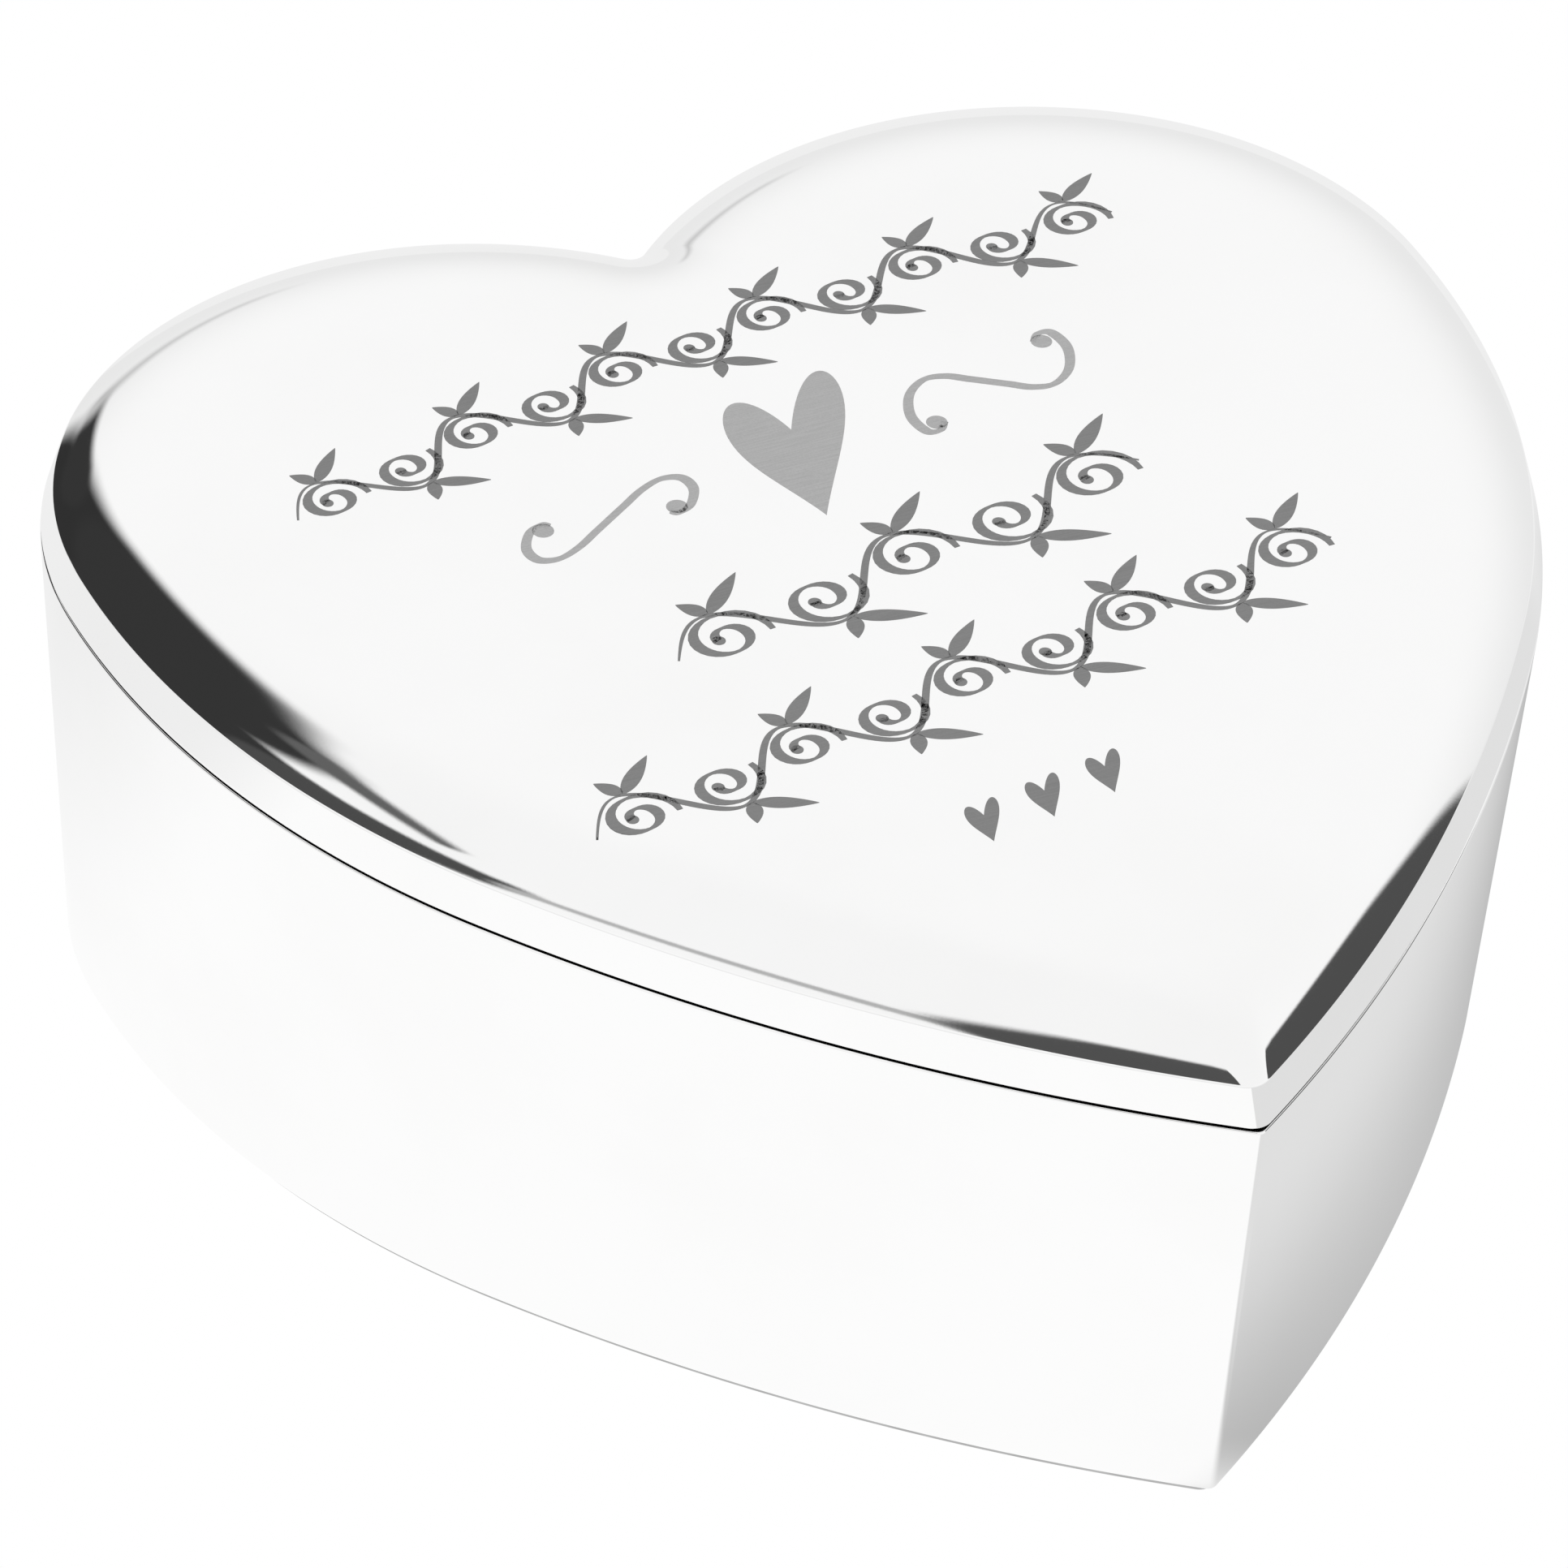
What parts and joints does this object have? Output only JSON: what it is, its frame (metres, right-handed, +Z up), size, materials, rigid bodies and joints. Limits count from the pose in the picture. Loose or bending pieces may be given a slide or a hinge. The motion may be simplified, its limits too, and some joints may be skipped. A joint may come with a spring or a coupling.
{
  "type": "heart-shaped trinket box",
  "caption": "Heart-shaped trinket box: a mirror-polished plated base with flaring walls and a low domed lid, hinged behind the lobes and lined with velvet pads.",
  "frame": {"origin": "centre of the bounding box on the plane the box stands on", "axes": "+Z up, -Y towards the heart's tip, +Y towards the lobes and hinges, X across the lobes, mirror-symmetric about X = 0"},
  "size_m": [0.09, 0.0982, 0.0358],
  "materials": {
    "silver_plate": "mirror-polished silver plate, lightly lacquered",
    "engraving": "matt diamond-drag engraved line in silver plate",
    "hinge_plate": "bright plated strip, slightly duller than the shells",
    "pin_wire": "drawn wire",
    "black_velvet": "short-pile black velvet",
    "base_felt": "pressed black felt",
    "card": "black lining card",
    "foam": "open-cell padding foam"
  },
  "bodies": {
    "base": {"base_shell": "silver_plate", "base_felt": "base_felt", "wall_card": "card", "wall_velvet": "black_velvet", "floor_board": "card", "floor_foam": "foam", "floor_velvet": "black_velvet", "left_base_leaf": "hinge_plate", "right_base_leaf": "hinge_plate", "left_hinge_pin": "pin_wire", "right_hinge_pin": "pin_wire"},
    "lid": {"lid_shell": "silver_plate", "lid_board": "card", "lid_foam": "foam", "lid_velvet": "black_velvet", "left_lid_leaf": "hinge_plate", "right_lid_leaf": "hinge_plate"}
  },
  "joints": [
    {"name": "lid_hinge", "type": "hinge", "parent": "base", "child": "lid", "pos_m": [0, 0.04721, 0.0287], "axis": [-1, 0, 0], "range_deg": [0, 105]}
  ]
}
